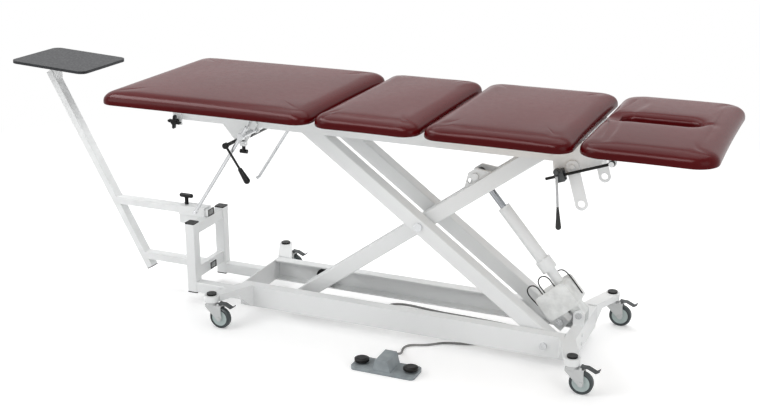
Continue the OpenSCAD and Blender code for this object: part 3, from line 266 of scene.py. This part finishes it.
def painted(n, mask, low, high):
    """Colour that is low where the mask is 0 and high where it is 1, with a little tone in both."""
    mix = n.add("ShaderNodeMix", data_type="RGBA")
    tone = n.noise(25, 3)
    n.link(mask, mix.inputs["Factor"])
    n.link(n.ramp(tone, shade(low, 0.95), shade(low, 1.03)), mix.inputs["A"])
    n.link(n.ramp(tone, shade(high, 0.9), shade(high, 1.1)), mix.inputs["B"])
    return mix.outputs["Result"]


TYRE_INNER_R = 0.0275
PLUG_LINE_X = -0.5325  # the ends of the post's level tubes lie beyond this
LEAN_DOWN = (0.4755, 0, -0.8797)  # along the leaning post, towards its lower end
LEAN_END, LEAN_END_X = -0.4313, -0.758  # its plug is past the first and left of the second
ROD_Z0, ROD_Z1 = 0.556, 0.650  # bright part of the head lever


def wheel_material(name, centre):
    """Dark tyre round a grey-green hub; the wheel's axis lies along Y."""
    n = Nodes(name)
    offset = where(n, "SUBTRACT", centre)
    flat = n.add("ShaderNodeVectorMath", operation="MULTIPLY")
    flat.inputs[1].default_value = (1, 0, 1)
    n.link(offset.outputs["Vector"], flat.inputs[0])
    radius = n.add("ShaderNodeVectorMath", operation="LENGTH")
    n.link(flat.outputs["Vector"], radius.inputs[0])
    rim = over(n, radius.outputs["Value"], TYRE_INNER_R)
    return n.finish(
        painted(n, rim, (0.42, 0.49, 0.48), (0.035, 0.045, 0.048)),
        n.ramp(n.noise(90, 4), 0.42, 0.58),
        n.bump(n.noise(500, 3), 0.00008, 0.4, n.edge(0.001)),
    )


def post_material():
    """White tube with black plugs in its open ends."""
    n = Nodes("post_paint")
    right = where(n, "DOT_PRODUCT", (1, 0, 0)).outputs["Value"]
    down = where(n, "DOT_PRODUCT", LEAN_DOWN).outputs["Value"]
    left = where(n, "DOT_PRODUCT", (-1, 0, 0)).outputs["Value"]
    lower_end = both(n, over(n, down, LEAN_END), over(n, left, -LEAN_END_X))
    plug = n.add("ShaderNodeMath", operation="MAXIMUM")
    n.link(over(n, right, PLUG_LINE_X), plug.inputs[0])
    n.link(lower_end, plug.inputs[1])
    return n.finish(
        painted(n, plug.outputs[0], WHITE, BLACK),
        n.ramp(n.noise(38, 5), 0.28, 0.42),
        n.bump(n.noise(900, 2), 0.00004, 0.5, n.edge(0.0012)),
    )


def lever_material():
    """Bright rod between a black hub and a black grip."""
    n = Nodes("lever_finish")
    up = where(n, "DOT_PRODUCT", (0, 0, 1)).outputs["Value"]
    down = where(n, "DOT_PRODUCT", (0, 0, -1)).outputs["Value"]
    rod = both(n, over(n, up, ROD_Z0), over(n, down, -ROD_Z1))
    return n.finish(
        painted(n, rod, BLACK, (0.45, 0.46, 0.47)),
        n.ramp(n.noise(60, 4), 0.26, 0.36),
        n.bump(n.noise(300, 3), 0.00004, 0.4, n.edge(0.0006)),
    )


for joint in frame["record"]["behaviour"]["joints"]:
    if joint["name"].startswith("caster") and joint["name"].endswith("_roll"):
        wheel = joint["child"]
        for owned in frame["record"]["behaviour"]["bodies"][wheel]:
            OWN[owned] = wheel_material(wheel + "_finish", joint["pos_m"])
OWN["post_frame"] = post_material()
OWN["head_lever"] = lever_material()
slot_of = {p["node"]: p["material_slot"] for p in frame["record"]["subparts"]}
for node_name, node in frame["nodes"].items():
    finish = OWN.get(node_name, BY_SLOT[slot_of[node_name]])
    for place in node.material_slots:
        place.material = finish


# ---------------------------------------------------------------- pieces
def new_piece(name, mesh, body, material):
    """A smooth-shaded piece of the scene that rides on a body."""
    piece = bpy.data.objects.new(name, mesh)
    scene.collection.objects.link(piece)
    mesh.materials.clear()
    mesh.materials.append(material)
    mesh.polygons.foreach_set("use_smooth", [True] * len(mesh.polygons))
    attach(piece, body)
    return piece


def mesh_of(name, verts, faces):
    mesh = bpy.data.meshes.new(name)
    mesh.from_pydata([tuple(v) for v in verts], [], faces)
    mesh.update()
    return mesh


# ---------------------------------------------------------------- foot switch cable
CABLE_POINTS = [  # mm, in the frame of the base
    (63, -302, 28), (63, -288, 27), (62, -268, 19), (57, -244, 9), (51, -221, 4.8), (46, -202, 4.1),
    (47, -182, 4), (58, -165, 4), (78, -155, 4), (100, -146, 4), (124, -130, 4), (150, -108, 4),
    (180, -96, 4), (216, -87, 4), (256, -70, 4), (288, -40, 4), (302, 0, 4), (290, 40, 4),
    (250, 64, 4), (190, 68, 4), (120, 60, 4), (60, 54, 4), (0, 50, 4), (-60, 50, 4), (-112, 60, 4),
    (-142, 94, 4), (-124, 134, 4), (-78, 146, 4), (-20, 140, 4), (60, 130, 4), (140, 128, 4),
    (230, 124, 4), (320, 116, 4.1), (396, 102, 4.3), (438, 82, 6), (474, 58, 13), (506, 42, 26),
    (536, 36, 42), (565, 34, 50),
]
CABLE_D = 0.0078
CORD_STEPS = 8  # spline points from one given point to the next
CABLE_EASE, LEAD_EASE = 8, 6  # passes of eased()
CORD_RESOLUTION = 4


def spline_points(points, steps):
    """Catmull-Rom points through the given ones."""
    found = []
    last = len(points) - 1
    for i in range(last):
        a, b, c, d = (points[max(0, min(last, k))] for k in (i - 1, i, i + 1, i + 2))
        for k in range(steps):
            t = k / steps
            found.append(0.5 * (2 * b + (c - a) * t + (2 * a - 5 * b + 4 * c - d) * t * t
                                + (3 * b - a - 3 * c + d) * t ** 3))
    return found + [points[-1]]


def eased(points, passes):
    """The same line with its tightest bends opened a little; its ends stay."""
    for _ in range(passes):
        points = ([points[0]] + [(a + 2 * b + c) / 4 for a, b, c in zip(points, points[1:], points[2:])]
                  + [points[-1]])
    return points


def cable(name, points, radius, material):
    curve = bpy.data.curves.new(name, "CURVE")
    curve.dimensions = "3D"
    curve.bevel_depth = radius
    curve.bevel_resolution = CORD_RESOLUTION
    curve.use_fill_caps = True
    line = curve.splines.new("POLY")
    line.points.add(len(points) - 1)
    for point, co in zip(line.points, points):
        point.co = (*co, 1)
    line.use_smooth = True
    piece = bpy.data.objects.new(name, curve)
    scene.collection.objects.link(piece)
    curve.materials.append(material)
    return piece


cable_line = eased(spline_points([base(*p) for p in CABLE_POINTS], CORD_STEPS), CABLE_EASE)
foot_cable = cable("foot_switch_cable", cable_line, CABLE_D / 2, jacket)
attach(foot_cable, "base")
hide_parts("foot_cable")


# ---------------------------------------------------------------- leads of the motor
ACTUATOR = base(585, 0, 147)
ALONG, ACROSS = Vector((-0.64679, 0, 0.76267)), Vector((0.76267, 0, 0.64679))
LEAD_D = 0.0042
LEADS = {  # mm along the actuator, to its far side and across it
    "motor_lead_front": [(120, -30, -9), (135, -30, -9), (150, -30, -9), (164.1, -31, -14.9),
                         (170, -31, -29), (164.1, -32, -43.1), (150, -33, -49), (135, -33, -49),
                         (120, -33, -49)],
    "motor_lead_side": [(120, -40, -55), (132, -41, -55), (145, -41, -55), (159.1, -42, -60.9),
                        (165, -42, -75), (159.1, -42, -89.1), (145, -42, -95), (129, -42, -94.5),
                        (113, -42, -92.5), (97, -42, -90)],
    "motor_lead_back": [(120, 20, -8), (130, 20, -8), (144.1, 20, -2.1), (150, 20, 12),
                        (144.1, 20, 26.1), (130, 20, 32), (110, 20, 34), (80, 20, 34), (46, 20, 33)],
}


def actuator_point(u, y, n):
    """A point u mm along the actuator, y mm to the far side and n mm across it, in the row frame."""
    return ACTUATOR + ALONG * (u * MM) + ACROSS * (n * MM) + Vector((0, y * MM, 0))


for lead_name, places in LEADS.items():
    lead_points = [actuator_point(*place) for place in places]
    lead_line = eased(spline_points(lead_points, CORD_STEPS), LEAD_EASE)
    lead = cable(lead_name, lead_line, LEAD_D / 2, black_plastic)
    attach(lead, "actuator")


# ---------------------------------------------------------------- cushions
SIDE_PULL = 0.003
INSET = 0.0012  # the pad starts this much smaller, because it swells
SWELL_CAP = 0.0015
SHOULDER_RUN, SHOULDER_DROP = 0.058, 0.036
SHOULDER_POWER = 0.86  # below 1 the shoulder is fuller than an ellipse
CROWN = 0.004
BOARD_T, BOARD_INSET = 0.012, 0.0123
CORNER_STEPS, SIDE_STEPS = 12, 24
RIM_R, RIM_DROP = 0.030, 0.020  # how the vinyl rolls into the face slot
LINING = 0.011  # wall of the pad inside the slot of its board
SHOULDER_RINGS, TOP_RINGS, SLOPE_RINGS, RIM_RINGS = 10, 11, 8, 6
WALL_SHARES = (0.35, 0.7, 1.0)  # rings down the wall of the slot
CORNER_SHARE, CORNER_MIN = 0.75, 0.004  # how the corner radius shrinks towards the top
LIP = 0.0004  # small step where the vinyl turns round the edge of the board
FOOT_BEVEL, FOOT_LIFT = 0.0012, 0.0002  # lower edge of the sides
UNDERSIDE = 0.0006  # lower end of the wall inside the slot
PIN_ABOVE = 0.0015  # the sim holds what lies lower than this above the board
SIM_FRAMES = 20
VALLEY_DEPTH, VALLEY_HALF, VALLEY_END, VALLEY_FADE = 0.010, 0.075, 0.02, 0.05
FOLD_DEPTH, FOLD_HALF, FOLD_L = 0.009, 0.022, 0.075
FALL_DEPTH, FALL_FADE = 0.03, 0.026  # only the top of the pad sinks


def rounded_outline(mid, half_x, half_y, radius, pull):
    """Rounded rectangle, counter-clockwise, whose sides pull in between the corners."""
    points = []
    for q in range(4):
        sx = 1 if q in (0, 3) else -1
        sy = 1 if q < 2 else -1
        cx, cy = sx * (half_x - radius), sy * (half_y - radius)
        for k in range(CORNER_STEPS + 1):
            t = math.radians(90 * q + 90 * k / CORNER_STEPS)
            points.append((cx + radius * math.cos(t), cy + radius * math.sin(t)))
        nx = (-1, -1, 1, 1)[q]
        ny = (1, -1, -1, 1)[q]
        for k in range(1, SIDE_STEPS + 1):
            t = k / (SIDE_STEPS + 1)
            d = pull * math.sin(math.pi * t)
            if q % 2 == 0:
                points.append((cx + (nx * (half_x - radius) - cx) * t, sy * (half_y - d)))
            else:
                points.append((sx * (half_x - d), cy + (ny * (half_y - radius) - cy) * t))
    return [Vector((mid.x + x, mid.y + y, 0)) for x, y in points]


def soft_step(t):
    """0 to 1 with a soft start and a soft end, for t from 0 to 1."""
    t = max(0.0, min(1.0, t))
    return t * t * (3 - 2 * t)


def slot_outline(mid, slot, grow):
    """Long hole with round ends, with its points in the same order as rounded_outline's."""
    x0, x1, half_w = slot
    r = half_w + grow
    x0, x1 = x0 + half_w, x1 - half_w
    n = 4 * (CORNER_STEPS + 1 + SIDE_STEPS)
    lengths = (math.pi * r / 2, x1 - x0, math.pi * r, x1 - x0, math.pi * r / 2)
    total = sum(lengths)
    start = CORNER_STEPS / 2 / n * total
    found = []
    for i in range(n):
        run = (i / n * total - start + total / 8) % total
        if run < lengths[0]:
            a = run / r
            found.append((x1 + r * math.cos(a), r * math.sin(a)))
        elif run < lengths[0] + lengths[1]:
            found.append((x1 - (run - lengths[0]), r))
        elif run < sum(lengths[:3]):
            a = math.pi / 2 + (run - lengths[0] - lengths[1]) / r
            found.append((x0 + r * math.cos(a), r * math.sin(a)))
        elif run < sum(lengths[:4]):
            found.append((x0 + run - sum(lengths[:3]), -r))
        else:
            a = -math.pi / 2 + (run - sum(lengths[:4])) / r
            found.append((x1 + r * math.cos(a), r * math.sin(a)))
    return [Vector((x, mid.y + y, 0)) for x, y in found]


def cushion_mesh(name, node, corner, slot=None):
    """Closed pad round its board: recess below, drawn-in sides, round shoulders and a crown."""
    lo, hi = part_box(node)
    mid = (lo + hi) / 2
    half_x, half_y = (hi.x - lo.x) / 2 - INSET, (hi.y - lo.y) / 2 - INSET
    z0 = lo.z
    top = hi.z - z0 - INSET
    edge_z = top - CROWN - SHOULDER_DROP
    rings = []

    def ring(inset, z, pull):
        radius = max(corner - INSET - inset * CORNER_SHARE, CORNER_MIN)
        points = rounded_outline(mid, half_x - inset, half_y - inset, radius, pull)
        rings.append([v + Vector((0, 0, z0 + z)) for v in points])

    board = BOARD_INSET - INSET
    ring(board, BOARD_T, 0)
    ring(board, LIP, 0)
    ring(FOOT_BEVEL, FOOT_LIFT, SIDE_PULL)
    ring(LIP, FOOT_BEVEL, SIDE_PULL)
    for k in range(SHOULDER_RINGS + 1):
        a = math.radians(90 * k / SHOULDER_RINGS)
        inset = SHOULDER_RUN * (1 - math.cos(a) ** SHOULDER_POWER)
        z = edge_z + SHOULDER_DROP * math.sin(a) ** SHOULDER_POWER
        ring(inset, z, SIDE_PULL * (1 - k / SHOULDER_RINGS))
    if slot:
        outer = rings[-1]
        rim = slot_outline(mid, slot, RIM_R)
        for k in range(1, SLOPE_RINGS + 1):
            s = k / SLOPE_RINGS
            z = z0 + top - CROWN * (1 - s) ** 2
            rings.append([Vector((a.x + (b.x - a.x) * s, a.y + (b.y - a.y) * s, z))
                          for a, b in zip(outer, rim)])
        for k in range(1, RIM_RINGS + 1):
            a = math.radians(90 * k / RIM_RINGS)
            points = slot_outline(mid, slot, RIM_R * (1 - math.sin(a)))
            rings.append([v + Vector((0, 0, z0 + top - RIM_DROP * (1 - math.cos(a)))) for v in points])
        low = z0 + top - RIM_DROP
        for s in WALL_SHARES:
            rings.append([v + Vector((0, 0, low + (z0 + UNDERSIDE - low) * s))
                          for v in slot_outline(mid, slot, LIP)])
        rings.append([v + Vector((0, 0, z0 + UNDERSIDE)) for v in slot_outline(mid, slot, LINING)])
        rings.append([v + Vector((0, 0, z0 + BOARD_T)) for v in slot_outline(mid, slot, LINING)])
    else:
        border = rings[-1]
        flat_x, flat_y = half_x - SHOULDER_RUN, half_y - SHOULDER_RUN
        for k in range(1, TOP_RINGS):
            share = 1 - k / TOP_RINGS
            points = []
            for v in border:
                x, y = (v.x - mid.x) * share, (v.y - mid.y) * share
                across = (1 - (x / flat_x) ** 2) * (1 - (y / flat_y) ** 2)
                z = z0 + top - CROWN * (1 - max(0.0, across))
                points.append(Vector((mid.x + x, mid.y + y, z)))
            rings.append(points)
    n = len(rings[0])
    verts = [v for r in rings for v in r]
    faces = [(i * n + k, i * n + (k + 1) % n, (i + 1) * n + (k + 1) % n, (i + 1) * n + k)
             for i in range(len(rings) - 1) for k in range(n)]
    last = (len(rings) - 1) * n
    if slot:
        faces += [(last + k, last + (k + 1) % n, (k + 1) % n, k) for k in range(n)]
    else:
        low, high = len(verts), len(verts) + 1
        verts += [(mid.x, mid.y, z0 + BOARD_T), (mid.x, mid.y, z0 + top)]
        faces += [(low, (k + 1) % n, k) for k in range(n)]
        faces += [(high, last + k, last + (k + 1) % n) for k in range(n)]
    return mesh_of(name, verts, faces), mid, z0, z0 + top


def apply_modifiers(piece):
    """The evaluated mesh becomes the piece's own mesh, and no modifier is left."""
    depsgraph = bpy.context.evaluated_depsgraph_get()
    mesh = bpy.data.meshes.new_from_object(piece.evaluated_get(depsgraph))
    piece.modifiers.clear()
    piece.data = mesh
    return mesh


def simulate(piece, pinned_z, lowest):
    """Inflates the pad a little: what rests on the board stays, the rest moves SWELL_CAP at most."""
    rest = [v.co.copy() for v in piece.data.vertices]
    group = piece.vertex_groups.new(name="pin")
    group.add([v.index for v in piece.data.vertices if v.co.z < pinned_z], 1.0, "REPLACE")
    cloth = piece.modifiers.new("cloth", "CLOTH")
    settings = cloth.settings
    settings.quality = 4
    settings.mass = 0.3
    settings.use_pressure = True
    settings.uniform_pressure_force = 1.2
    settings.tension_stiffness = 40
    settings.compression_stiffness = 40
    settings.shear_stiffness = 20
    settings.bending_stiffness = 4
    settings.vertex_group_mass = "pin"
    settings.effector_weights.gravity = 0
    cloth.collision_settings.use_collision = False
    cloth.point_cache.frame_start, cloth.point_cache.frame_end = 1, SIM_FRAMES
    for frame_number in range(1, SIM_FRAMES + 1):
        scene.frame_set(frame_number)
    mesh = apply_modifiers(piece)
    for vertex, start in zip(mesh.vertices, rest):
        move = vertex.co - start
        if move.length > SWELL_CAP:
            vertex.co = start + move * (SWELL_CAP / move.length)
        vertex.co.z = max(vertex.co.z, lowest)
    scene.frame_set(1)
    return mesh


def crease(mesh, mid, top_z, slot, left_edge):
    """A shallow valley from the slot to the hinge end, and a short fold at the slot's other end."""
    x0, x1, half_w = slot
    for vertex in mesh.vertices:
        x, y = vertex.co.x, vertex.co.y - mid.y
        height = soft_step((vertex.co.z - top_z + FALL_DEPTH) / FALL_FADE)
        fall = 0.0
        if x < x0 + half_w:
            fade = soft_step((x - left_edge + VALLEY_END) / VALLEY_FADE)
            fall = VALLEY_DEPTH * soft_step(1 - abs(y) / VALLEY_HALF) * fade
        elif x > x1 - half_w:
            along = 1 - (x - (x1 - half_w)) / (half_w + FOLD_L)
            fall = FOLD_DEPTH * soft_step(1 - abs(y) / FOLD_HALF) * soft_step(along)
        vertex.co.z -= fall * height
    mesh.update()


def make_cushion(name, node, body, corner, slot=None):
    """The pad that takes the place of a cushion's node; corner is its corner radius."""
    mesh, mid, z0, z1 = cushion_mesh(name, node, corner, slot)
    if slot:
        crease(mesh, mid, z1, slot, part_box(node)[0].x)
    piece = bpy.data.objects.new(name + "_form", mesh)
    scene.collection.objects.link(piece)
    mesh = simulate(piece, z0 + BOARD_T + PIN_ABOVE, z0 + FOOT_LIFT)
    divide = piece.modifiers.new("divide", "SUBSURF")
    divide.levels = divide.render_levels = 1
    mesh = apply_modifiers(piece)
    bpy.data.objects.remove(piece)
    cushion = new_piece(name, mesh, body, vinyl)
    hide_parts(node)


HEAD_SLOT = (base(660, 0, 0).x, base(910, 0, 0).x, 0.040)  # both ends in x, and half its width
CORNER_R, HEAD_CORNER_R = 0.055, 0.072
make_cushion("leg_pad", "leg_cushion", "leg_section", CORNER_R)
make_cushion("pelvis_pad", "pelvis_cushion", "carriage", CORNER_R)
make_cushion("chest_pad", "chest_cushion", "top_frame", CORNER_R)
make_cushion("head_pad", "head_cushion", "head_section", HEAD_CORNER_R, HEAD_SLOT)


# ---------------------------------------------------------------- floor, light
WORLD_LIGHT = 0.62
FLOOR_GLOW = 0.24
FLOOR_SIZE, FLOOR_Z = 80, -0.0004
WHITE_FROM, WHITE_TO = 1.5, 3.2  # distance from the middle at which the floor turns white


def plane(name, size, place):
    s = size / 2
    mesh = mesh_of(name, [(-s, -s, 0), (s, -s, 0), (s, s, 0), (-s, s, 0)], [(0, 1, 2, 3)])
    piece = bpy.data.objects.new(name, mesh)
    scene.collection.objects.link(piece)
    piece.location = place
    return piece


def white_to_the_eye(nodes):
    """Largest of Is Camera Ray, Is Glossy Ray and Is Transmission Ray in the given node tree."""
    path = nodes.new("ShaderNodeLightPath")
    value = path.outputs["Is Camera Ray"]
    links = nodes.id_data.links
    for name in ("Is Glossy Ray", "Is Transmission Ray"):
        larger = nodes.new("ShaderNodeMath")
        larger.operation = "MAXIMUM"
        links.new(value, larger.inputs[0])
        links.new(path.outputs[name], larger.inputs[1])
        value = larger.outputs[0]
    return value


floor = plane("floor", FLOOR_SIZE, (0, 0, FLOOR_Z))
floor_nodes = Nodes("floor")
floor.data.materials.append(floor_nodes.finish(
    floor_nodes.ramp(floor_nodes.noise(0.8, 2), (0.90, 0.90, 0.90), (0.92, 0.92, 0.92)),
    floor_nodes.ramp(floor_nodes.noise(3, 2), 0.75, 0.85), Specular_IOR_Level=0.2))
lift = floor_nodes.add("ShaderNodeMath", operation="MULTIPLY")
floor_nodes.link(white_to_the_eye(floor_nodes.tree.nodes), lift.inputs[0])
lift.inputs[1].default_value = FLOOR_GLOW
floor_nodes.link(lift.outputs[0], floor_nodes.shader.inputs["Emission Strength"])
floor_nodes.shader.inputs["Emission Color"].default_value = (1, 1, 1, 1)
length = floor_nodes.add("ShaderNodeVectorMath", operation="LENGTH")
floor_nodes.link(floor_nodes.place, length.inputs[0])
far = floor_nodes.ramp(length.outputs["Value"], 0.0, 1.0, WHITE_FROM, WHITE_TO)
blend_in = floor_nodes.add("ShaderNodeMath", operation="MULTIPLY")
floor_nodes.link(far, blend_in.inputs[0])
floor_nodes.link(white_to_the_eye(floor_nodes.tree.nodes), blend_in.inputs[1])
glow = floor_nodes.add("ShaderNodeEmission")
mixed = floor_nodes.add("ShaderNodeMixShader")
floor_nodes.link(blend_in.outputs[0], mixed.inputs[0])
floor_nodes.link(floor_nodes.shader.outputs[0], mixed.inputs[1])
floor_nodes.link(glow.outputs[0], mixed.inputs[2])
floor_nodes.link(mixed.outputs[0], floor_nodes.tree.nodes["Material Output"].inputs["Surface"])

world = bpy.data.worlds.new("studio")
scene.world = world
world.use_nodes = True
tree = world.node_tree
background = tree.nodes["Background"]
strength = tree.nodes.new("ShaderNodeMapRange")
strength.inputs["To Min"].default_value = WORLD_LIGHT
strength.inputs["To Max"].default_value = 1.0
tree.links.new(white_to_the_eye(tree.nodes), strength.inputs["Value"])
tree.links.new(strength.outputs["Result"], background.inputs["Strength"])
background.inputs["Color"].default_value = (1, 1, 1, 1)


def lamp(name, place, target, size, power):
    data = bpy.data.lights.new(name, "AREA")
    data.shape = "RECTANGLE"
    data.size, data.size_y = size
    data.energy = power
    light = bpy.data.objects.new(name, data)
    scene.collection.objects.link(light)
    light.location = place
    light.rotation_euler = (Vector(target) - Vector(place)).to_track_quat("-Z", "Y").to_euler()
    return light


lamp("top_light", (0.2, 0.9, 3.6), (0.0, 0.0, 0.5), (4.5, 2.6), 104)
lamp("key_light", (-2.8, -2.6, 2.8), (0.0, 0.0, 0.5), (2.2, 2.2), 54)
lamp("fill_light", (3.4, -1.6, 1.8), (0.2, 0.0, 0.5), (2.0, 2.0), 20)
glint = lamp("shoulder_light", (-0.9, -1.15, 3.0), (-0.3, -0.3, 0.8), (5.0, 1.1), 190)
glint.visible_diffuse = False
